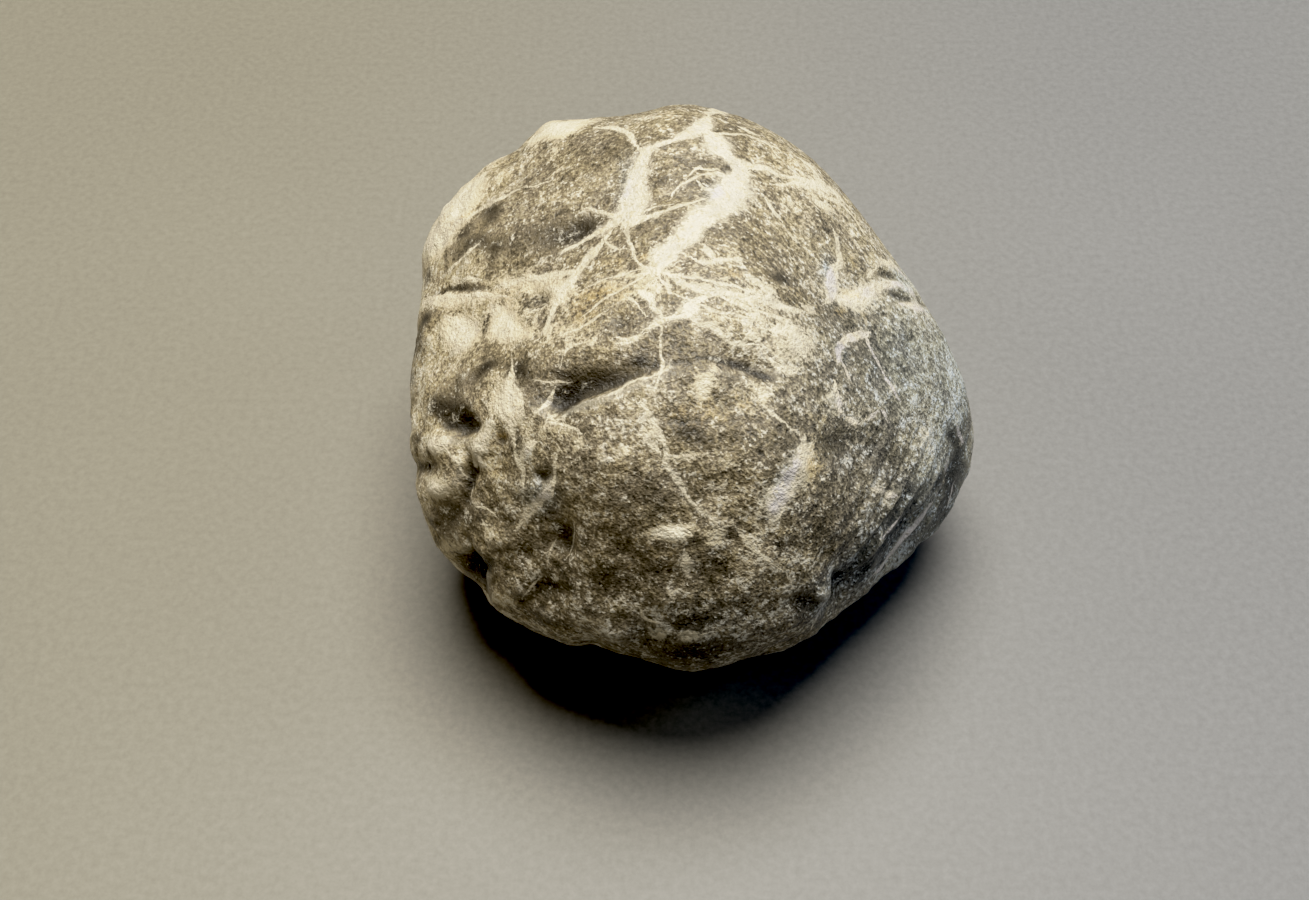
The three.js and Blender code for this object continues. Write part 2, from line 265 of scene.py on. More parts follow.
    [(-88, -18, 1), (-80, -14, 2), (-72, -10), (-62, -5, 2.5), (-50, -1, 2), (-40, 1), (-33, 5, 1.5),
     (-28, 10, 1)],
    [(-73, 31, 2), (-62, 35, 3), (-50, 42, 2)],
    [(-159, -202, 1), (-167, -210, 1.5), (-173, -220, 1)],
    [(-144, -167, 1), (-146, -173, 1.5), (-150, -185)],
    [(10, -105, 1.5), (20, -105, 2), (25, -100, 1.5)],
    [(-12, -167, 3), (-10, -177, 6), (-8, -189, 3)],
    [(-28, -205, 1.5), (-24, -209, 3.5), (-22, -213, 1)],
    [(272, -86, 3), (270, -100, 4), (262, -116), (250, -131, 4.5), (239, -144, 5), (228, -159),
     (218, -173, 4), (208, -186), (194, -200, 3)],
    [(289, -103, 1), (285, -115, 1.5), (280, -130, 1)],
    [(205, -132, 1), (195, -142, 2.5), (186, -153, 2)],
    [(128, -223, 1.5), (125, -235), (118, -250, 1)],
    [(173, -106, 2), (185, -110, 4.5), (194, -112, 3)],
    [(-55, -225, 1), (-50, -235, 2.5), (-40, -240, 1.5)],
]

# Veins on the sides that face away and down: azimuth, elevation and half width, which is in tenths too.
BACK_VEINS = [
    [(84, 54, 5), (82, 45, 9), (77, 31, 13), (70, 14, 11), (66, 0, 8), (58, -16, 9), (50, -30, 5)],
    [(103, 37, 4), (106, 30, 8), (109, 21, 12), (113, 10, 15), (118, -6, 11), (121, -20, 8), (130, -34, 4)],
    [(157, 13, 2), (150, 13, 3), (143, 12, 4), (135, 12, 5), (120, 8, 6), (105, 4, 3), (90, 2, 4),
     (75, -2, 5), (58, -4, 3), (42, -2, 4), (26, 2, 3)],
    [(38, 22, 1.5), (46, 21, 2), (58, 19), (72, 18, 1.5), (88, 22, 2), (104, 27), (116, 29, 1.5)],
    [(20, -20, 2), (34, -26, 2.5), (50, -34, 3), (70, -40, 4), (92, -44, 3), (112, -50, 2)],
    [(150, -30, 2), (143, -16, 3), (140, -2, 5), (136, 12, 4), (130, 26, 2)],
    [(0, -8, 2), (12, -24, 4), (20, -38, 6), (26, -52, 4), (40, -64, 2)],
    [(-100, -42, 2), (-120, -50, 5), (-140, -53, 6), (-165, -50, 3), (170, -40, 2)],
    [(-60, -40, 2), (-40, -46, 4), (-15, -50, 3), (10, -45, 1.5)],
    [(147, 19, 1.5), (146, 14, 2), (147, 8, 1.5), (150, 0, 2), (158, -14, 1.5)],
    [(41, 23, 2), (39, 18, 3), (35, 12, 2), (36, 0, 2.5), (30, -12, 2)],
    [(88, -14, 1.5), (96, -22, 2), (100, -32, 1.5), (96, -40, 1)],
]

# ---- stains and patches of colour on the face: right, up, half widths, strength and turn, if any ----

CREAM = [
    (-55, 90, 45, 20, 0.8), (-95, 45, 30, 20, 0.4), (-175, 100, 35, 13, 0.8), (-190, 60, 35, 30, 0.7),
    (-135, 85, 20, 20, 0.8), (-249, 51, 22, 21, 1.9), (-193, 58, 14, 16, 1.5), (-283, 91, 30, 7.5, 1.2, 3),
    (-245, 88, 25, 8, 0.8), (-175, 46, 20, 8, 0.7), (-194, -18, 19, 21, 1), (-125, 45, 30, 25, 0.4),
    (120, 180, 50, 40, 0.35), (-210, 125, 50, 20, 0.3), (25, 115, 30, 10, 0.5), (45, 85, 45, 10, 0.6, -8),
    (95, 30, 25, 20, 0.9), (165, 85, 30, 16, 1), (45, 45, 45, 20, 0.5), (5, -20, 45, 20, 0.4),
    (130, -25, 20, 20, 0.5), (-150, -50, 35, 20, 0.5), (-110, -60, 30, 25, 0.3), (-45, -55, 15, 10, 0.6),
    (-183, -20, 12, 17, 0.8), (-263, -65, 13, 13, 0.7), (-260, -107, 17, 11, 1.5),
    (-145, 280, 45, 13, 1.5, 14), (-40, 285, 35, 10, 0.4, 10), (-272, 188, 55, 24, 2.6, 49),
    (-146, 235, 9, 30, 0.5, 5), (110, 207, 30, 10, 0.6), (200, -45, 40, 30, 0.12, -30),
    (20, -155, 10, 10, 0.5), (-10, -180, 10, 18, 0.5), (60, -127, 20, 20, 0.4), (103, -88, 10, 23, 0.9, -15),
    (5, -225, 30, 10, 0.4), (-3, -252, 14, 7, 1), (-38, -253, 12, 8, 0.9), (20, -75, 45, 10, 0.3),
    (-212, -150, 9, 19, 0.75), (-255, -170, 13, 12, 0.9), (-235, 24, 35, 10, 0.25, 10),
    (50, -165, 18, 12, 0.5, -40), (240, -57, 12, 9, 0.5), (148, -178, 15, 6, 0.4, 20),
    (60, -15, 13, 8, 1.1, 20), (10, -6, 9, 7, 1.1), (2, -12, 4, 12, 0.9, 15), (17, 5, 8, 4, 0.9, -30),
    (30, -85, 10, 4, 1.1), (-10, -76, 20, 4, 0.9, 5), (-25, -148, 18, 6, 3.2, 3),
    (76, -109, 7, 12, 1.2, -30), (104, -69, 7, 14, 1, -25), (-112, -64, 6, 5, 1), (-70, -69, 10, 5, 0.7, 20),
    (20, -148, 10, 9, 0.8),
]
OCHRE = [
    (-110, 65, 25, 25, 0.65), (-75, 85, 30, 15, 0.6), (-80, 115, 25, 10, 0.4), (163, 90, 14, 9, 1),
    (33, 97, 14, 6, 0.6), (45, -25, 45, 20, 0.4), (-10, -35, 35, 15, 0.5), (-190, 90, 35, 20, 0.4),
    (100, 85, 15, 10, 0.4), (-243, 188, 15, 5, 0.9, 22), (-45, -165, 45, 20, 0.3), (108, -80, 10, 25, 0.9),
    (150, 72, 9, 7, 0.8), (173, 68, 7, 9, 0.6), (162, 123, 5, 13, 0.6), (-178, -26, 9, 16, 0.35),
    (-190, -55, 10, 5, 0.8), (-195, -90, 20, 10, 0.5, 20), (125, -38, 22, 8, 0.4),
    (-52, 121, 7, 5, 0.7, -20), (-95, 153, 10, 4, 0.5, 20), (10, 242, 6, 3, 0.6),
]
# Cool is a slate tint of the rock and, on the right flank and at the foot, painted cool light.
COOL_TINT_AND_PAINTED_LIGHT = [
    (225, 25, 40, 70, 0.6), (245, -135, 45, 70, 1.5, -38), (0, -250, 120, 40, 0.3),
    (175, -185, 50, 30, 0.9, 35), (130, -220, 20, 20, 0.8), (280, -60, 20, 60, 0.9), (285, 30, 30, 100, 0.8),
    (225, 110, 15, 15, 0.8), (180, 0, 90, 140, 0.6), (-70, 200, 10, 30, 0.8, -10),
    (18, 184, 10, 20, 0.9, -40), (139, 105, 6, 20, 1), (143, 26, 7, 10, 1), (-148, -26, 7, 9, 0.45, -40),
    (83, -96, 8, 22, 1.1, -20), (72, -123, 9, 12, 0.7), (-165, -72, 10, 10, 0.5),
    (-150, -115, 20, 20, 0.8, 40),
]
# Soot is dark spots of the rock and, in the ledge, the holes and hollows and at the foot of the right flank,
# painted shade.
SOOT_AND_PAINTED_SHADE = [
    (-123, 155, 33, 15, 0.95, 26), (-217, 185, 19, 11, 0.8, 10), (-253, 166, 18, 7, 0.85, 12),
    (-208, 172, 13, 9, 0.6, 20), (-206, 120, 9, 13, 0.55), (-222, 57, 12, 11, 1.1),
    (-158, 82, 13, 10, 0.95, 40), (-170, 72, 7, 6, 0.5, 30), (-168, 57, 5, 5, 0.8),
    (-202, 138, 14, 8, 0.55, 10), (-225, 150, 22, 9, 0.5, -10), (-203, 15, 16, 5, 0.7, 5),
    (-287, 72, 9, 7, 0.9), (-294, 46, 10, 30, 0.85, -4), (-300, 6, 6, 9, 0.9), (-126, 5, 13, 5, 0.8),
    (-289, -59, 6, 7, 0.8), (-250, -47, 9, 5, 0.8), (-173, 35, 5, 5, 0.7), (-169, 8, 11, 12, 0.85),
    (-220, 9, 20, 9, 0.6, 10), (-73, 52, 8, 9, 0.8), (80, 95, 12, 7, 0.8), (-50, 92, 9, 3.5, 0.9, -20),
    (203, 113, 16, 4, 0.9, -12), (215, 91, 17, 4.5, 0.9, -28), (243, 89, 9, 4, 0.9, -20),
    (140, 155, 5, 4, 0.9), (150, 146, 4, 5, 0.7), (-239, -39, 24, 16, 1.05, -15),
    (-264, -29, 18, 11, 0.85, 20), (-280, -88, 15, 8, 0.8), (-247, -139, 29, 26, 0.85),
    (-192, -60, 7, 9, 0.8), (-175, -60, 5, 7, 0.7), (-148, -96, 15, 5, 0.7), (-193, -92, 7, 5, 0.6),
    (-180, -116, 7, 5, 0.6), (-134, -153, 11, 20, 0.7, 20), (-148, -215, 18, 8, 0.6),
    (-226, -195, 19, 17, 1.25), (-217, -213, 10, 10, 0.7), (80, -18, 5, 5, 0.8), (117, -32, 7, 5, 0.8),
    (145, -65, 35, 15, 0.55), (80, -57, 15, 18, 0.4), (-10, -50, 17, 9, 0.7), (3, -59, 8, 3, 0.7),
    (145, -207, 10, 13, 0.55), (105, -223, 18, 12, 0.7, 10), (-45, -115, 25, 15, 0.4),
    (-100, -5, 43, 12, 0.8, 12), (-54, 12, 10, 5, 0.8), (-33, 10, 14, 3, 0.8, 8),
    (-130, -24, 14, 15, 1.3, -30), (30, 12, 20, 4.5, 1, -8), (57, 2, 15, 4.5, 0.9, -25),
    (-31, -68, 4, 2.5, 0.9), (-231, -95, 5, 20, 0.8), (-297, 123, 5, 17, 0.9), (-256, 102, 24, 3.2, 1),
    (-224, 98, 17, 2.6, 0.8, -4), (-278, 100, 9, 2.6, 0.9, 5), (-65, -185, 50, 30, 0.2),
    (-255, 140, 35, 22, 0.5, 10), (-170, 150, 40, 30, 0.25), (0, 14.5, 22, 2.8, 0.6, 2),
    (68, -2, 12, 3.5, 0.6, -15), (-248, -8, 36, 16, 0.5, 5), (-105, -80, 20, 15, 0.4),
    (5, -270, 60, 15, 0.5), (0, -237, 35, 9, 0.7), (30, -153, 8, 6, 0.8), (278, -57, 7, 9, 0.7),
    (220, -136, 60, 22, 0.6, 48), (264, -146, 70, 16, 0.75, 54), (290, -70, 13, 45, 0.8, -12),
    (165, -85, 40, 30, 0.25), (172, -192, 26, 16, 0.5, 50), (260, -102, 16, 10, 0.6),
    (210, -107, 12, 5, 0.5, 30), (223, 47, 8, 7, 0.5), (-35, 199, 12, 5, 0.6, 35), (10, 217, 15, 4, 0.6, 10),
    (33, 214, 4, 3, 0.9),
]

# The same on the sides that face away: azimuth, elevation, half width and strength.
BACK_CREAM = [
    (110, 10, 5, 0.8), (70, 20, 3, 0.6), (150, 14, 3, 0.7), (58, -14, 3, 0.6), (135, -20, 3, 0.5),
    (20, -40, 4, 0.6), (-140, -50, 4, 0.5), (168, -8, 3, 0.5), (36, 20, 2.5, 0.5), (95, -40, 3, 0.5),
]
BACK_OCHRE = [
    (118, 18, 3, 0.7), (82, 8, 3, 0.5), (64, -6, 3, 0.6), (146, -6, 4, 0.5), (28, -30, 4, 0.4),
    (-110, -56, 4, 0.4),
]
# Back cool: a slate tint low on the sides, partly painted cool light.
BACK_COOL_TINT_AND_PAINTED_LIGHT = [(15, -10, 7, 0.8), (45, -20, 7, 0.6), (165, -30, 7, 0.6), (-30, -60, 6, 0.5)]
# Back soot: dark spots, and painted shade in some of the hollows.
BACK_SOOT_AND_PAINTED_SHADE = [
    (92, 26, 2.5, 0.7), (128, -2, 2.5, 0.6), (50, 10, 2.5, 0.7), (84, -18, 3, 0.7), (150, 10, 2, 0.6),
    (110, -38, 4, 0.5), (40, -44, 4, 0.4), (170, -22, 3, 0.6),
]

# ---- directions and noise ----


def direction(azimuth, elevation):
    """The unit vector at this azimuth, from +X towards +Y, and this elevation above level."""
    turn, lift = np.radians(azimuth), np.radians(elevation)
    return np.stack([np.cos(turn) * np.cos(lift), np.sin(turn) * np.cos(lift), np.sin(lift)], axis=-1)


# Rows are right, up and out of the worn face.
FACE_RIGHT = np.array([1.0, 0.0, 0.0])
FACE_OUT = direction(-90, FACE_TILT)
FACE_UP = np.cross(FACE_OUT, FACE_RIGHT)
FACE_AXES = np.stack([FACE_RIGHT, FACE_UP, FACE_OUT])


def smooth(low, high, value):
    """Rises from 0 at low to 1 at high as 3t^2 - 2t^3."""
    t = np.clip((value - low) / (high - low), 0, 1)
    return t * t * (3 - 2 * t)


def bell(distance):
    """1 in the middle, falling off as e to the minus distance squared."""
    return np.exp(-distance * distance)


def spline(a, b, c, d, f):
    """The smooth curve (Catmull-Rom) from b to c, at a share f of the way, with a before and d after."""
    bend = a - 2.5 * b + 2 * c - d / 2
    twist = 1.5 * (b - c) + (d - a) / 2
    return b + f * (c - a) / 2 + f ** 2 * bend + f ** 3 * twist


def noise(points, length, seed):
    """Gradient noise, about -1 to 1: every corner of a cubic lattice with edges of this length has a
    slope of its own, and the slopes are blended between corners by 6t^5 - 15t^4 + 10t^3."""
    draw = np.random.default_rng(seed)
    slopes = draw.normal(size=(256, 3))
    slopes /= np.linalg.norm(slopes, axis=1, keepdims=True)
    order = draw.permutation(256)
    place = points / length
    cell = np.floor(place).astype(int)
    inside = place - cell
    share = inside ** 3 * (inside * (inside * 6 - 15) + 10)
    result = np.zeros(len(points))
    for corner in np.ndindex(2, 2, 2):
        x, y, z = ((cell + corner) & 255).T
        slope = slopes[order[(order[(order[x] + y) & 255] + z) & 255]]
        weight = np.where(corner, share, 1 - share).prod(axis=1)
        result += weight * np.einsum("ij,ij->i", slope, inside - corner)
    return 1.6 * result


def drift(points, length, reach, seed):
    """A vector for each point, of three noises of this length times reach."""
    return reach * np.stack([noise(points, length, seed + k) for k in range(3)], axis=-1)


# ---- the form ----


def girdle_radius(angle):
    """A smooth closed curve through the girdle's radii, at these angles in radians."""
    count = len(GIRDLE)
    place = (angle / (2 * np.pi) * count) % count
    step = np.floor(place).astype(int)
    return spline(*[GIRDLE[(step + k) % count] for k in (-1, 0, 1, 2)], place - step)


def block_radius(units):
    """Radius of the block along unit vectors: the sum of each limit's nearness to the power of the edge
    sharpness, to the power of minus one over it. A limit's nearness is one over the radius at which the
    girdle or a flat is met."""
    right, up, _ = (units @ FACE_AXES.T).T
    near_painted_shade = [np.hypot(right, up) / girdle_radius(np.arctan2(up, right))]
    for azimuth, elevation, distance in FLATS:
        near_painted_shade.append(np.maximum(units @ direction(azimuth, elevation), 0) / distance)
    return (np.stack(near_painted_shade) ** EDGE_SHARPNESS).sum(axis=0) ** (-1 / EDGE_SHARPNESS)


def on_block(units):
    """The block's surface along unit vectors."""
    return units * block_radius(units)[:, None]


def route_on(points, route):
    """For each point in two or three dimensions, what holds at the nearest place on a route whose last
    column is a value: the distance to it, the offset from it, the way the route runs and the value."""
    route = np.asarray(route, float)
    size = points.shape[1]
    best = np.full(len(points), np.inf)
    offset = np.zeros_like(points)
    way = np.zeros_like(points)
    value = np.zeros(len(points))
    for a, b in zip(route[:-1], route[1:]):
        along = b[:size] - a[:size]
        t = np.clip((points - a[:size]) @ along / (along @ along), 0, 1)
        off = points - a[:size] - t[:, None] * along
        distance = np.linalg.norm(off, axis=1)
        nearer = distance < best
        best[nearer] = distance[nearer]
        offset[nearer] = off[nearer]
        way[nearer] = along / np.linalg.norm(along)
        value[nearer] = (a[size] + t * (b[size] - a[size]))[nearer]
    return best, offset, way, value


def crease_height(face, left, right, route):
    """Height of a crease or crest at places on the face: the route's own height times a bell of the
    distance from it, counted in the flank width of that side."""
    distance, offset, way, height = route_on(face, route)
    on_left = way[:, 0] * offset[:, 1] - way[:, 1] * offset[:, 0] > 0
    return height * bell(distance / np.where(on_left, left, right))


def oval(face, right, up, wide, tall, strength, turn=0):
    """A turned oval bell at places on the face."""
    c, s = math.cos(math.radians(turn)), math.sin(math.radians(turn))
    x, y = face[:, 0] - right, face[:, 1] - up
    return strength * bell(np.hypot((x * c + y * s) / wide, (y * c - x * s) / tall))


def patches(face, marks):
    """The sum of the marks' ovals at places on the face."""
    return sum(oval(face, *mark) for mark in marks)


def round_patches(points, marks):
    """The sum of round bells whose middles lie on the block at an azimuth and elevation."""
    result = 0
    for azimuth, elevation, width, strength in marks:
        middle = on_block(direction(azimuth, elevation)[None])
        result += strength * bell(np.linalg.norm(points - middle, axis=1) / width)
    return result


def swell(points):
    """Three crossed waves of one length, a third turned into the next, over root three."""
    turn = 2 * np.pi / SWELL_LENGTH
    x, y, z = points.T
    waves = (np.sin(turn * (x + 0.4 * y) + 1) + np.sin(turn * (y - 0.5 * z) + 2)
             + np.sin(turn * (z + 0.3 * x) + 4))
    return SWELL_HEIGHT * waves / math.sqrt(3)


def roughness(points, face):
    """Layers of noise, each plain noise plus scallops, which are a third less the size of a longer noise,
    and pits where a noise is high. All of it is stronger at the left and the foot, least on the crown."""
    strength = 0.55 + 0.5 * smooth(-8, -24, face[:, 0]) + 0.35 * smooth(4, -16, face[:, 1])
    result = np.zeros(len(points))
    for k, (length, height) in enumerate(ROUGHNESS):
        plain = noise(points, length, 20 + k)
        scallops = 0.33 - np.abs(noise(points, 1.4 * length, 40 + k))
        result += height * (plain + scallops)
    for k, (length, start, depth) in enumerate(PITS):
        result -= depth * smooth(start, start + PIT_SLOPE, noise(points, length, 60 + k))
    return strength * result


def bedding(face, points):
    """Ridges across one way, bent by a slow noise, inside a round bell."""
    middle, width, across, spacing, height = BEDDING
    distance = np.hypot(face[:, 0] - middle[0], face[:, 1] - middle[1])
    place = face[:, :2] @ np.array(across) + 0.5 * noise(points, 6, 80)
    ridges = np.sin(2 * np.pi * place / spacing) + 0.5 * np.sin(2 * np.pi * place / (0.43 * spacing) + 1)
    return height * bell(distance / width) * ridges


def worn_points(units):
    """The stone's skin along unit vectors, and the block's surface under it. Everything on the face
    fades out where the block turns away from the face axis. The skin stops at the resting flat."""
    radius = block_radius(units)
    block = units * radius[:, None]
    face = block @ FACE_AXES.T
    tenths = face * TENTHS
    relief = sum(crease_height(tenths[:, :2], *crease) for crease in CREASES) + patches(tenths, LUMPS)
    height = smooth(*WORN_FADE, face[:, 2]) * (relief / TENTHS + bedding(face, block))
    height += round_patches(block, BACK_LUMPS) + swell(block) + roughness(block, face)
    floor = np.where(units[:, 2] < 0, REST_DEPTH / np.maximum(-units[:, 2], 1e-9), np.inf)
    return units * np.minimum(radius + height, floor)[:, None], block


# ---- the skin's grid ----

ROWS = 128          # squares along each side of the six patches of the skin
GUTTER = 0.006      # bare margin round each patch on the flat map


def skin_grid():
    """A cube's six sides of squares in rows, blown onto the unit sphere after a tangent spacing, with
    their shared edges merged. Returns the unit vectors, the quads, and the flat map of the quads'
    corners, with the six patches side by side in two rows of three."""
    t = np.tan(np.linspace(-np.pi / 4, np.pi / 4, ROWS + 1))
    s, r = np.meshgrid(t, t, indexing="ij")
    one = np.ones_like(s)
    sides = [(one, s, r), (-one, r, s), (r, one, s), (s, -one, r), (s, r, one), (r, s, -one)]
    units = np.concatenate([np.stack(side, axis=-1).reshape(-1, 3) for side in sides])
    units /= np.linalg.norm(units, axis=1, keepdims=True)
    corner = np.arange((ROWS + 1) ** 2).reshape(ROWS + 1, ROWS + 1)
    quad = np.stack([corner[:-1, :-1], corner[1:, :-1], corner[1:, 1:], corner[:-1, 1:]], axis=-1)
    quads = np.concatenate([quad.reshape(-1, 4) + side * corner.size for side in range(6)])
    share = np.linspace(GUTTER, 1 - GUTTER, ROWS + 1)
    flat = np.stack(np.meshgrid(share, share, indexing="ij"), axis=-1).reshape(-1, 2)
    places = [((k % 3) / 3, (k // 3) / 2) for k in range(6)]
    flat_map = np.concatenate([(flat / (3, 2)) + place for place in places])[quads.ravel()]
    _, first, same = np.unique(np.round(units, 6), axis=0, return_index=True, return_inverse=True)
    return units[first], same.reshape(-1)[quads], flat_map


def eased(values, quads, rounds):
    """Values at the corners of the quads, each replaced this many times by the mean of its neighbours."""
    ends = np.concatenate([quads[:, [k, (k + 1) % 4]] for k in range(4)])
    count = np.bincount(ends[:, 0], minlength=len(values))
    for _ in range(rounds):
        sums = [np.bincount(ends[:, 0], column[ends[:, 1]], len(values)) for column in values.T]
        values = (np.stack(sums) / count).T
    return values


# ---- veins on the skin ----

STEPS = 4             # straight pieces between two points of a vein's route
REACH = 4.5           # how far from a vein its distance is kept
APART = 1.9           # least distance between two veins that share a layer
LIFT = (-14.0, 40.0)  # the least and the most that a vein lies out along the face axis
HALVINGS = 24


def curve_through(route):
    """A smooth open curve through the route's points, in straight pieces. A point without a half width
    has the one before it."""
    full = []
    for right, up, *half in route:
        full.append((right, up, half[0] if half else full[-1][2]))
    full = np.array(full, float)
    padded = np.concatenate([[2 * full[0] - full[1]], full, [2 * full[-1] - full[-2]]])
    shares = (np.arange(STEPS) / STEPS)[:, None, None]
    pieces = spline(padded[:-3], padded[1:-2], padded[2:-1], padded[3:], shares)
    return np.concatenate([pieces.transpose(1, 0, 2).reshape(-1, 3), full[-1:]])


def lifted(face):
    """Points of the block that lie over places on the face. The height out is closed in on by halves."""
    low, high = [np.full(len(face), limit) for limit in LIFT]
    for _ in range(HALVINGS):
        out = (low + high) / 2
        place = np.column_stack([face, out]) @ FACE_AXES
        length = np.linalg.norm(place, axis=1)
        inside = length < block_radius(place / length[:, None])
        low, high = np.where(inside, out, low), np.where(inside, high, out)
    return on_block(place / length[:, None])


def vein_lines():
    """Every vein as points on the block with a half width, smoothed."""
    lines = []
    for route in FACE_VEINS:
        curve = curve_through(route) / TENTHS
        lines.append(np.column_stack([lifted(curve[:, :2]), curve[:, 2]]))
    for route in BACK_VEINS:
        azimuth, elevation, half = curve_through(route).T
        lines.append(np.column_stack([on_block(direction(azimuth, elevation)), half / TENTHS]))
    return lines


def gap_between(points, others):
    """The least distance between two sets of points."""
    return np.linalg.norm(points[:, None] - others[None], axis=2).min()


def vein_layers(block, units):
    """Layers that hold, for each vertex, the signed and the plain distance to the layer's nearest vein
    and that vein's half width there. Veins closer than APART go to different layers, so that the sign
    never jumps between two of them."""
    bent = block + drift(block, 2.6, 0.32, 100) + drift(block, 1.1, 0.1, 104)
    layers = []
    taken = []
    for line in vein_lines():
        low, high = line[:, :3].min(axis=0) - REACH, line[:, :3].max(axis=0) + REACH
        near = np.flatnonzero(((bent > low) & (bent < high)).all(axis=1))
        distance, offset, way, half = route_on(bent[near], line)
        side = np.sign(np.einsum("ij,ij->i", np.cross(way, offset), units[near]))
        free = [k for k, points in enumerate(taken) if gap_between(line[:, :3], points) > APART]
        if not free:
            free = [len(layers)]
            taken.append(np.empty((0, 3)))
            layers.append(np.tile([REACH, REACH, 0.0], (len(block), 1)))
        layer = layers[free[0]]
        taken[free[0]] = np.concatenate([taken[free[0]], line[:, :3]])
        closer = distance < layer[near, 1]
        layer[near[closer]] = np.stack([side * distance, distance, half], axis=-1)[closer]
    return layers


# ---- the stone's mesh ----


def placed(name, data):
    """An object of this mesh, lamp or camera in the scene."""
    thing = bpy.data.objects.new(name, data)
    bpy.context.scene.collection.objects.link(thing)
    return thing


def mesh_of(name, points, quads, flat_map, fields):
    """A mesh of quads in metres with a flat map and a vector at each vertex for every named field."""
    mesh = bpy.data.meshes.new(name)
    mesh.from_pydata(points * MM, [], quads, shade_flat=False)
    mesh.uv_layers.new(name="OFBake").uv.foreach_set("vector", flat_map.astype(np.float32).ravel())
    for field_name, values in fields.items():
        attribute = mesh.attributes.new(field_name, "FLOAT_VECTOR", "POINT")
        attribute.data.foreach_set("vector", values.astype(np.float32).ravel())
    return placed(name, mesh)


def stone_fields(units, block, skin, quads):
    """What the material reads at each vertex: the vein layers; cream, ochre and cool, which is a slate tint
    and in part painted cool light; soot, which is in part painted shade, how far the skin lies under its own
    surroundings within about 1 mm and within about 3 mm, which the material turns into painted shade in the
    hollows."""
    face = block @ FACE_AXES.T
    front = smooth(*COLOUR_FADE, face[:, 2])
    bent = (face + drift(block, 3, 0.5, 120) @ FACE_AXES.T) * TENTHS
    cream, ochre, cool_tint_and_light, soot_and_shade = [
        front * patches(bent, marks) + round_patches(block, back_marks)
        for marks, back_marks in (
            (CREAM, BACK_CREAM), (OCHRE, BACK_OCHRE), (COOL_TINT_AND_PAINTED_LIGHT, BACK_COOL_TINT_AND_PAINTED_LIGHT), (SOOT_AND_PAINTED_SHADE, BACK_SOOT_AND_PAINTED_SHADE))
    ]
    near = eased(skin, quads, 6)
    far = eased(near, quads, 50)
    hollow = ((near - skin) * units).sum(axis=1)
    broad_hollow = ((far - skin) * units).sum(axis=1)
    fields = {f"vein_{k}": layer for k, layer in enumerate(vein_layers(block, units))}
    fields["warmth"] = np.stack([cream, ochre, cool_tint_and_light], axis=-1)
    fields["shade"] = np.stack([soot_and_shade, hollow, broad_hollow], axis=-1)
    return fields


def make_stone():
    """Lays the stone over its solid. Returns it, its middle's place and the names of its vein layers."""
    units, quads, flat_map = skin_grid()
    skin, block = worn_points(units)
    fields = stone_fields(units, block, skin, quads)
    low, high = np.array(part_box("pebble")) / MM
    middle = (skin.min(axis=0) + skin.max(axis=0)) / 2
    shift = np.array([*((low + high) / 2 - middle)[:2], low[2] + REST_DEPTH])
    stone = mesh_of("pebble_skin", skin + shift, quads, flat_map, fields)
    return stone, shift, [name for name in fields if name.startswith("vein_")]


# ---- material nodes: each goes into the tree of the sockets that it is given ----


def wire(value, socket):
    """Links an output to a socket, or sets the socket to a plain value or colour."""
    if isinstance(value, bpy.types.NodeSocket):
        socket.id_data.links.new(value, socket)
    elif socket.type == "RGBA":
        socket.default_value = (*value, 1)
    else:
        socket.default_value = value


def node_for(kind, *values):
    """A new node of this kind in the tree of the first socket among the values."""
    tree = next(value.id_data for value in values if isinstance(value, bpy.types.NodeSocket))
    return tree.nodes.new(kind)


def calculate(operation, *values):
    """An operation, such as MAXIMUM, on values that change over the surface and plain numbers."""
    node = node_for("ShaderNodeMath", *values)
    node.operation = operation
    for value, socket in zip(values, node.inputs):
        wire(value, socket)
    return node.outputs[0]


def product(first, *others):
    """The values multiplied together."""
    for other in others:
        first = calculate("MULTIPLY", first, other)
    return first


def total(*terms):
    """The sum of (value, weight) terms."""
    result = 0.0
    for value, weight in terms:
        result = calculate("MULTIPLY_ADD", value, weight, result)
    return result


def rise(value, low, high, to_low=0.0, to_high=1.0):
    """Goes smoothly from to_low, where the value is low, to to_high, where it is high."""
    node = node_for("ShaderNodeMapRange", value)
    node.interpolation_type = "SMOOTHSTEP"
    for setting, socket in zip((value, low, high, to_low, to_high), node.inputs):
        wire(setting, socket)
    return node.outputs[0]


def speckle(vector, size, detail, rough):
    """Fractal noise about zero, whose largest lumps are about this many millimetres across."""
    node = node_for("ShaderNodeTexNoise", vector)
    wire(vector, node.inputs["Vector"])
    node.inputs["Scale"].default_value = 1 / size
    node.inputs["Detail"].default_value = detail
    node.inputs["Roughness"].default_value = rough
    return calculate("SUBTRACT", node.outputs["Fac"], 0.5)


def threads(vector, size, detail, rough, wide, narrow):
    """1 along the lines where a noise is nearer zero than narrow, and 0 where it is past wide."""
    return rise(calculate("ABSOLUTE", speckle(vector, size, detail, rough)), wide, narrow)


def blend(share, under, over, mode="MIX"):
    """The colour under and, by this share, the colour over it."""
    node = node_for("ShaderNodeMix", share, under, over)
    node.data_type = "RGBA"
    node.blend_type = mode
    for value, place in ((share, 0), (under, 6), (over, 7)):      # the node's sockets for colours
        wire(value, node.inputs[place])
    return node.outputs[2]


def tinted(colour, tint):
    """The colour multiplied by the tint."""
    return blend(1.0, colour, tint, "MULTIPLY")


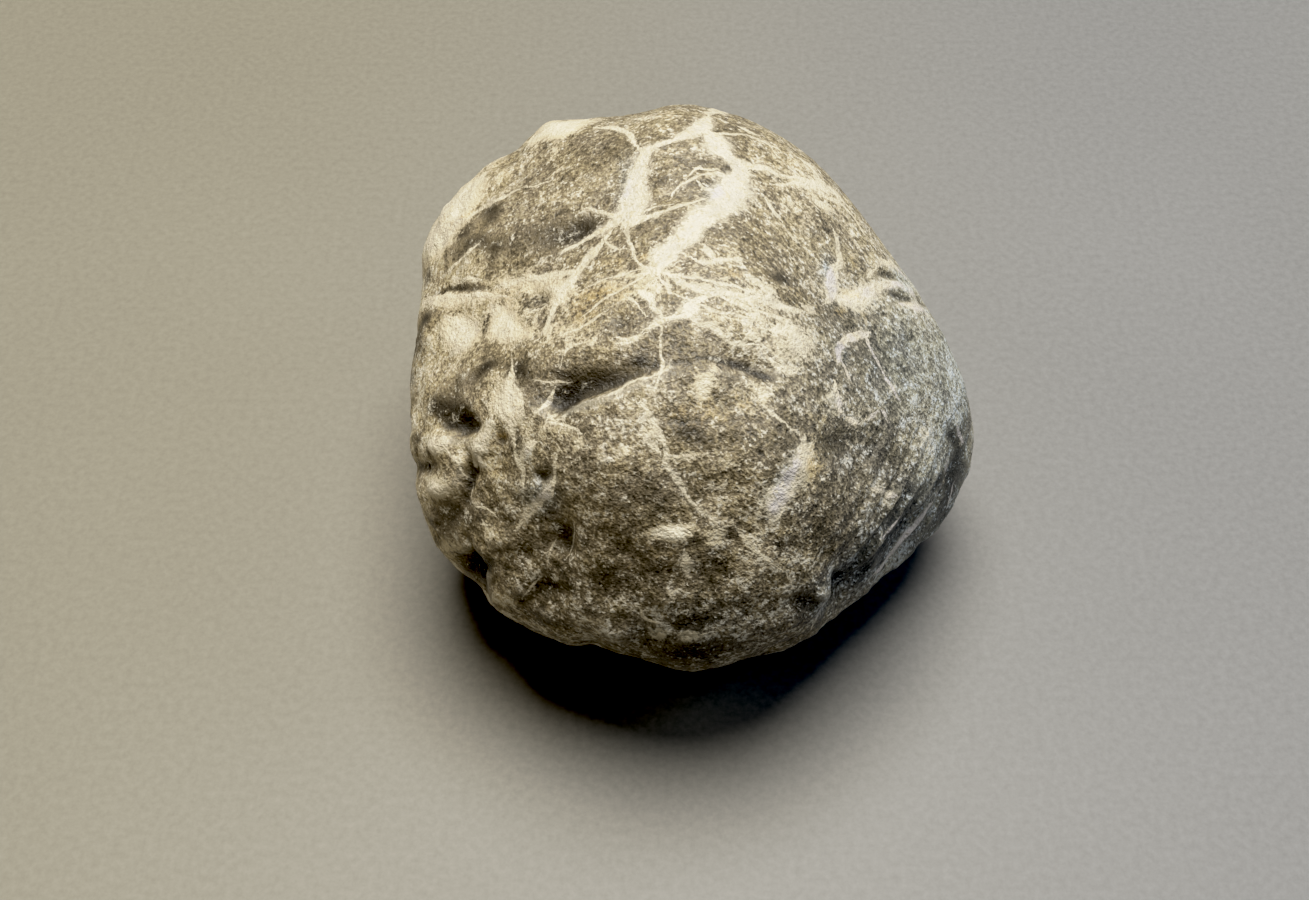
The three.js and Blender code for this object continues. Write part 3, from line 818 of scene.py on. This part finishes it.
def ramp(value, stops):
    """A colour ramp through (place, colour) stops."""
    node = node_for("ShaderNodeValToRGB", value)
    elements = node.color_ramp.elements
    while len(elements) < len(stops):
        elements.new(0.5)
    for element, (place, colour) in zip(elements, stops):
        element.position = place
        element.color = (*colour, 1)
    wire(value, node.inputs["Fac"])
    return node.outputs["Color"]


def mapped(vector, rotation=(0, 0, 0), scale=(1, 1, 1)):
    """A pattern's place: the vector times the scale, then turned."""
    node = node_for("ShaderNodeMapping", vector)
    wire(vector, node.inputs["Vector"])
    node.inputs["Rotation"].default_value = [math.radians(angle) for angle in rotation]
    node.inputs["Scale"].default_value = scale
    return node.outputs["Vector"]


def parts_of(vector):
    """The X, Y and Z of a vector."""
    node = node_for("ShaderNodeSeparateXYZ", vector)
    wire(vector, node.inputs[0])
    return node.outputs


def field(tree, name):
    """The three parts of what the mesh keeps at each vertex under this name."""
    node = tree.nodes.new("ShaderNodeAttribute")
    node.attribute_name = name
    return parts_of(node.outputs["Vector"])


def new_material(name):
    """A material, its shader, and the place on the object in millimetres."""
    material = bpy.data.materials.new(name)
    material.use_nodes = True
    source = material.node_tree.nodes.new("ShaderNodeTexCoord").outputs["Object"]
    place = mapped(source, scale=(1 / MM, 1 / MM, 1 / MM))
    return material, material.node_tree.nodes["Principled BSDF"], place


# ---- the stone's finish ----

VEIN_END = 0.4        # how far a vein's mark may reach past its end
VEIN_EDGE = 0.9       # how far out a vein's edge lies, in half widths
HALO_EDGE = 1.65      # how far out its paler surroundings start to fade, in half widths
LEAST_TEAR = 0.16     # how much the finest vein's edge is torn, and what each mm of half width adds
ADDED_TEAR = 1.3


def vein_margin(tree, names, tear):
    """Distance outside the nearest vein's edge, below zero inside, over all the vein layers: the larger
    of the signed distance's size and the plain distance less VEIN_END, less the edge's place, plus the
    tear, which grows with the half width. Second, the same for the surroundings, untorn."""
    least = REACH
    nearest = REACH
    for name in names:
        signed, plain, half = field(tree, name)
        away = calculate("MAXIMUM", calculate("ABSOLUTE", signed), calculate("SUBTRACT", plain, VEIN_END))
        tear_size = calculate("MULTIPLY_ADD", half, ADDED_TEAR, LEAST_TEAR)
        margin = total((away, 1), (half, -VEIN_EDGE), (tear, tear_size))
        least = calculate("MINIMUM", least, margin)
        nearest = calculate("MINIMUM", nearest, total((away, 1), (half, -HALO_EDGE)))
    return least, nearest


# Colours as light the surface gives back.
DARKEST = (0.04, 0.036, 0.029)
SOOT_AND_SHADE_COLOUR = (0.022, 0.018, 0.012)
DARK = (0.1, 0.087, 0.064)
MIDDLE = (0.215, 0.184, 0.133)
PALE = (0.46, 0.395, 0.275)
PALEST = (0.7, 0.65, 0.53)
CREAM_COLOUR = (0.62, 0.53, 0.36)
PALE_CREAM = (0.84, 0.77, 0.6)
HALO_COLOUR = (0.62, 0.56, 0.44)
OCHRE_COLOUR = (0.46, 0.31, 0.1)
CALCITE = (0.68, 0.62, 0.495)
CALCITE_EDGE = (0.75, 0.67, 0.505)
STAINED_CALCITE = (0.74, 0.58, 0.32)
LAVENDER = (0.6, 0.568, 0.59)

# Tints: the colour under them is multiplied by these.
WARM_TINT = (1.045, 1.0, 0.86)
DULL_TINT = (1.015, 0.99, 0.94)
SLATE_AND_COOL_LIGHT_TINT = (0.79, 0.93, 1.2)


def stone_material(vein_names):
    """A grained ground, then soot with painted shade, flecks, stains, a slate tint with painted cool light,
    veins, painted shade in the hollows and wear over it, one after the other.
    """
    material, shader, place = new_material("veined_limestone")
    tree = place.id_data
    x, y, z = parts_of(place)
    cream, ochre, cool_tint_and_light = field(tree, "warmth")
    soot_and_shade, hollow, broad_hollow = field(tree, "shade")

    # Grain. It is drawn out along one way of the face at the right, where flecks lie like dashes.
    drawn_out = mapped(mapped(place, rotation=(FACE_TILT - 90, 0, 40)), scale=(0.42, 1.25, 1))
    clouds = speckle(place, 7, 4, 0.6)
    lumps = speckle(place, 2.1, 3, 0.6)
    grain = speckle(place, 0.6, 2, 0.6)
    fine = speckle(place, 0.27, 1, 0.5)
    dashes = product(speckle(drawn_out, 0.45, 2, 0.6), rise(x, -8, 14, 0.35, 1.0))

    # The ground. It is even on the crown, patchy at the left, and paler on the crown and both sides. The
    # paler flanks are partly the rock's tone and partly painted side light.
    patchiness = product(rise(z, 24, 42, 1.1, 0.7), rise(x, -12, -22, 1.0, 1.5))
    broad = product(total((clouds, 0.6), (lumps, 0.65)), patchiness)
    bleach = rise(z, 22, 42, 0.456, 0.488)
    right_tone_and_painted_light = rise(x, 16, 26, 0, 0.19)
    left_tone_and_painted_light = rise(x, -16, -26, 0, 0.185)
    high_right = product(rise(x, 2, 12, 0, 0.07), rise(y, -8, 2))
    tone = total(
        (broad, 1), (grain, 0.6), (fine, 0.6), (dashes, 0.78), (cream, 0.06), (soot_and_shade, -0.2),
        (bleach, 1), (right_tone_and_painted_light, 1), (left_tone_and_painted_light, 1), (high_right, 1))
    rock = ramp(tone, [(0.1, DARKEST), (0.3, DARK), (0.5, MIDDLE), (0.68, PALE), (0.85, PALEST)])
    hue = rise(speckle(place, 3.1, 4, 0.65), -0.16, 0.16)
    rock = blend(hue, tinted(rock, WARM_TINT), tinted(rock, DULL_TINT))

    # Soot and wet-looking dark spots, under the flecks. In the ledge, the holes and hollows and at the foot
    # of the right flank they are painted shade.
    ragged = total((lumps, 1.4), (grain, 1), (fine, 0.6), (dashes, 0.8))
    soot_and_shade = calculate("MINIMUM", soot_and_shade, 1.05)
    rock = blend(rise(total((soot_and_shade, 1), (ragged, 1.35)), 0.2, 1.15, 0, 0.87), rock, SOOT_AND_SHADE_COLOUR)

    # Bright flecks, sparse on the dull ground and thick in drifts, and threads among them.
    drifts = total((broad, 0.9), (cream, 0.08), (speckle(place, 1.2, 2, 0.6), 0.8))
    spark = total(
        (speckle(place, 0.42, 2, 0.6), 1), (dashes, 0.8), (fine, 0.5), (drifts, 0.8), (soot_and_shade, -0.1),
        (rise(z, 38, 24), 0.06))
    rock = blend(rise(spark, 0.1, 0.3, 0, 0.85), rock, PALEST)
    curls = threads(place, 0.9, 1, 0.5, 0.04, 0.01)
    curls = calculate("MAXIMUM", curls, threads(drawn_out, 1.4, 3, 0.6, 0.03, 0.01))
    rock = blend(product(curls, rise(drifts, 0.02, 0.25, 0, 0.5)), rock, PALEST)

    # Cream and ochre stains, and a slate tint at the right, which is partly the rock's and partly painted
    # cool light from that side and at the foot.
    cream_tint = blend(rise(cream, 0.8, 2.0), CREAM_COLOUR, PALE_CREAM)
    rock = blend(rise(calculate("ADD", cream, ragged), 0.3, 0.95, 0, 0.88), rock, cream_tint)
    stained = calculate("ADD", ochre, ragged)
    rock = blend(rise(stained, 0.25, 1.1, 0, 0.6), rock, OCHRE_COLOUR)
    rock = blend(calculate("MINIMUM", cool_tint_and_light, 1.0), rock, tinted(rock, SLATE_AND_COOL_LIGHT_TINT))

    # Veins: solid where they are broad, ragged at the edge, and broken up where they are thin.
    tear = total((speckle(place, 1.5, 4, 0.68), 1.8), (grain, 0.6), (fine, 0.7), (dashes, 0.4))
    torn, surroundings = vein_margin(tree, vein_names, tear)
    vein = rise(torn, 0.05, -0.07)
    calcite = blend(rise(torn, -0.2, -0.9), CALCITE_EDGE, CALCITE)
    streak = total((lumps, 1), (grain, 0.8), (fine, 0.8))
    calcite = blend(rise(streak, 0.02, 0.3), calcite, CREAM_COLOUR)
    flaws = total((speckle(place, 0.9, 3, 0.65), 1), (fine, 0.6), (dashes, 0.5))
    calcite = blend(rise(flaws, 0.0, 0.24, 0, 0.75), calcite, PALE)
    calcite = blend(rise(stained, 0.4, 1.2, 0, 0.6), calcite, STAINED_CALCITE)
    lavender = total((cool_tint_and_light, 1), (lumps, 1.5))
    calcite = blend(rise(lavender, 0.3, 1.0, 0, 0.8), calcite, LAVENDER)
    fading = total((speckle(place, 3, 2, 0.5), 1), (fine, 0.8))
    halo = total((surroundings, 1), (ragged, -2.2))
    rock = blend(rise(halo, 0.3, -1.6, 0, 0.65), rock, HALO_COLOUR)
    rock = blend(product(vein, rise(fading, -0.22, 0.05, 0.58, 0.96)), rock, calcite)

    # A web of tiny veins, dense where the rock is creamy.
    web = threads(place, 2.4, 3, 0.55, 0.02, 0.005)
    web = calculate("MAXIMUM", web, threads(drawn_out, 1.3, 2, 0.55, 0.025, 0.008))
    creamy = total((cream, 0.6), (clouds, 1.4), (grain, 1))
    rock = blend(product(web, rise(creamy, 0.08, 0.6, 0, 0.85)), rock, CALCITE_EDGE)

    # Painted shade in the hollows, darker the deeper they lie, and wear on what stands proud.
    hollow_painted_shade = total((hollow, 1), (broad_hollow, 0.25), (ragged, 0.16))
    rock = blend(rise(hollow_painted_shade, 0.05, 0.45, 0, 0.75), rock, DARKEST)
    rock = blend(rise(hollow, -0.04, -0.3, 0, 0.25), rock, PALEST)
    wire(rock, shader.inputs["Base Color"])

    polish = total((grain, 0.5), (lumps, 0.3), (vein, -0.06))
    wire(calculate("ADD", polish, 0.52), shader.inputs["Roughness"])
    shader.inputs["Specular IOR Level"].default_value = 0.45

    bump = tree.nodes.new("ShaderNodeBump")
    bump.inputs["Distance"].default_value = MM
    height = total((grain, 0.22), (fine, 0.12), (dashes, 0.15), (lumps, 0.3), (vein, 0.02))
    wire(height, bump.inputs["Height"])
    wire(bump.outputs["Normal"], shader.inputs["Normal"])
    return material


# ---- stage ----

FLOOR_SIZE = 3000
# The floor's colours at the left and the right are painted lamp light: warm from the left, cool grey from
# the right.
FLOOR_LEFT_WARM_LIGHT = (0.216, 0.2, 0.158)
FLOOR_RIGHT_COOL_LIGHT = (0.19, 0.19, 0.19)
FLOOR_NEAR_PAINTED_SHADE_TINT = (0.9, 0.9, 0.91)
SHADES = ((0.88, 0.88, 0.88), (1.12, 1.12, 1.12))     # the unevenness goes from one to the other

LENS = 50
CAMERA_DISTANCE = 200
CAMERA_OFFSET = (-4.1, -7.0)      # right and up of the line through the stone's middle

# Soft round lamps: name, azimuth, elevation, distance, size, power and colour.
LAMPS = [
    ("key", 80, 80, 1000, 740, 20, (1.0, 0.97, 0.9)),
    ("right", 0, 35, 900, 400, 1.6, (0.78, 0.88, 1.0)),
    ("left", 190, 35, 900, 400, 1.0, (1.0, 0.9, 0.72)),
]


def floor_material():
    """A pale satin table top, with a faint unevenness. Painted lamp light makes it warmer at the left and
    greyer at the right, and painted shade darker near by.
    """
    material, shader, place = new_material("pale_table_top")
    x, y, _ = parts_of(place)
    colour = blend(rise(x, -75, 75), FLOOR_LEFT_WARM_LIGHT, FLOOR_RIGHT_COOL_LIGHT)
    share = total((speckle(place, 60, 3, 0.5), 0.6), (speckle(place, 0.9, 3, 0.7), 2.2))
    colour = tinted(colour, blend(calculate("ADD", share, 0.5), *SHADES))
    # Painted shade: the floor is darker towards the near side.
    near_painted_shade = rise(calculate("MULTIPLY_ADD", x, -0.7, y), 20, -110)
    colour = blend(near_painted_shade, colour, tinted(colour, FLOOR_NEAR_PAINTED_SHADE_TINT))
    wire(colour, shader.inputs["Base Color"])
    shader.inputs["Roughness"].default_value = 0.5
    shader.inputs["Specular IOR Level"].default_value = 0.4
    return material


def make_floor():
    """A level square under the stone."""
    half = FLOOR_SIZE / 2 * MM
    corners = [(-half, -half, 0), (half, -half, 0), (half, half, 0), (-half, half, 0)]
    mesh = bpy.data.meshes.new("table_top")
    mesh.from_pydata(corners, [], [(0, 1, 2, 3)])
    mesh.materials.append(floor_material())
    floor = placed("table_top", mesh)


def aim(thing, at, way, distance):
    """Puts a camera or lamp at a distance from a point, in a direction, looking back at the point."""
    place = (np.asarray(at) + way * distance) * MM
    right = np.cross((0, 0, 1), way)
    right /= np.linalg.norm(right)
    axes = np.column_stack([right, np.cross(way, right), way, place])
    thing.matrix_world = Matrix([*axes.tolist(), (0, 0, 0, 1)])


def make_lamp(middle, name, azimuth, elevation, distance, size, power, colour):
    light = bpy.data.lights.new(name, "AREA")
    light.shape = "DISK"
    light.size = size * MM
    light.energy = power
    light.color = colour
    aim(placed(name, light), middle, direction(azimuth, elevation), distance)


def make_camera(middle):
    data = bpy.data.cameras.new("camera")
    data.lens = LENS
    data.clip_start = 0.005
    data.clip_end = 20
    camera = placed("camera", data)
    aside = CAMERA_OFFSET[0] * FACE_RIGHT + CAMERA_OFFSET[1] * FACE_UP
    aim(camera, middle + aside, FACE_OUT, CAMERA_DISTANCE)
    bpy.context.scene.camera = camera


def make_world():
    world = bpy.data.worlds.new("dim_room")
    bpy.context.scene.world = world
    world.use_nodes = True
    background = world.node_tree.nodes["Background"]
    background.inputs["Color"].default_value = (0.8, 0.86, 1.0, 1)
    background.inputs["Strength"].default_value = 0.01


def make_response():
    """Deep blacks and a soft shoulder, so that the brightest veins keep their drawing."""
    settings = bpy.context.scene.view_settings
    settings.view_transform = "Standard"
    settings.use_curve_mapping = True
    curves = settings.curve_mapping
    curves.black_level = (0.0282, 0.027, 0.024)
    curves.white_level = (2.0, 2.0, 2.0)
    for place, value in ((0.12, 0.24), (0.22, 0.43), (0.5, 0.8)):
        curves.curves[3].points.new(place, value)
    curves.update()


stone, middle, vein_names = make_stone()
stone.data.materials.append(stone_material(vein_names))
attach(stone, "root")
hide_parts("pebble")

make_floor()
make_camera(middle)
make_world()
for lamp in LAMPS:
    make_lamp(middle, *lamp)
make_response()
